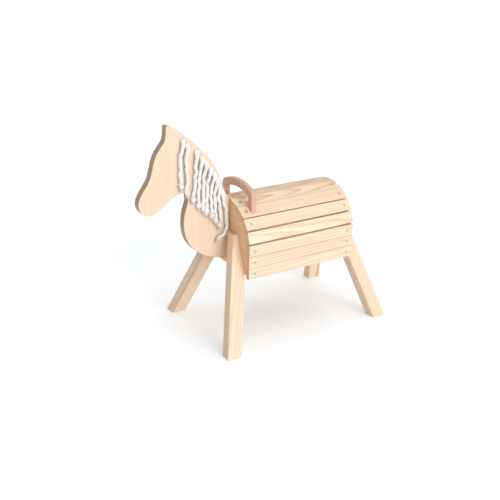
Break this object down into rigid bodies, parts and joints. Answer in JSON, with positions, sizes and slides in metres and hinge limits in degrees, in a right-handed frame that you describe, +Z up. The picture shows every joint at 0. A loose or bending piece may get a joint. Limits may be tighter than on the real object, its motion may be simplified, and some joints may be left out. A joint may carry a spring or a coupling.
{
  "type": "ride-on toy horse",
  "caption": "Wooden ride-on toy horse: slatted half-round barrel, splayed post legs, flat profile head with a cord mane, and a bow-shaped grip.",
  "frame": {"origin": "middle of the box round the horse, on the floor under its feet", "axes": "the horse faces -Y, its left side is +X and +Z is up"},
  "size_m": [0.3898, 0.7786, 0.6642],
  "materials": {
    "head_board": "sanded pale plywood, clear matt coat",
    "end_panel": "sanded glued pine, clear matt coat",
    "slat": "planed pine with knots, clear matt coat",
    "leg": "planed pine post, clear matt coat",
    "grip": "sanded plywood, clear matt coat",
    "screw": "zinc-plated, slightly dull",
    "cord": "undyed laid cotton"
  },
  "bodies": {
    "root": {"head_neck_board": "head_board", "front_panel": "end_panel", "rear_panel": "end_panel", "slat_top": "slat", "slat_left_1": "slat", "slat_left_2": "slat", "slat_left_3": "slat", "slat_left_4": "slat", "slat_left_5": "slat", "slat_left_6": "slat", "slat_left_7": "slat", "slat_right_1": "slat", "slat_right_2": "slat", "slat_right_3": "slat", "slat_right_4": "slat", "slat_right_5": "slat", "slat_right_6": "slat", "slat_right_7": "slat", "leg_front_left": "leg", "leg_front_right": "leg", "leg_rear_left": "leg", "leg_rear_right": "leg", "grip": "grip", "slat_screws_front": "screw", "slat_screws_rear": "screw", "leg_screws_front": "screw", "leg_screws_rear": "screw", "neck_screws": "screw", "grip_screws": "screw", "mane_cord_left_01": "cord", "mane_cord_left_02": "cord", "mane_cord_left_03": "cord", "mane_cord_left_04": "cord", "mane_cord_left_05": "cord", "mane_cord_left_06": "cord", "mane_cord_left_07": "cord", "mane_cord_left_08": "cord", "mane_cord_left_09": "cord", "mane_cord_left_10": "cord", "mane_cord_right_01": "cord", "mane_cord_right_02": "cord", "mane_cord_right_03": "cord", "mane_cord_right_04": "cord", "mane_cord_right_05": "cord", "mane_cord_right_06": "cord", "mane_cord_right_07": "cord", "mane_cord_right_08": "cord", "mane_cord_right_09": "cord", "mane_cord_right_10": "cord"}
  },
  "joints": []
}
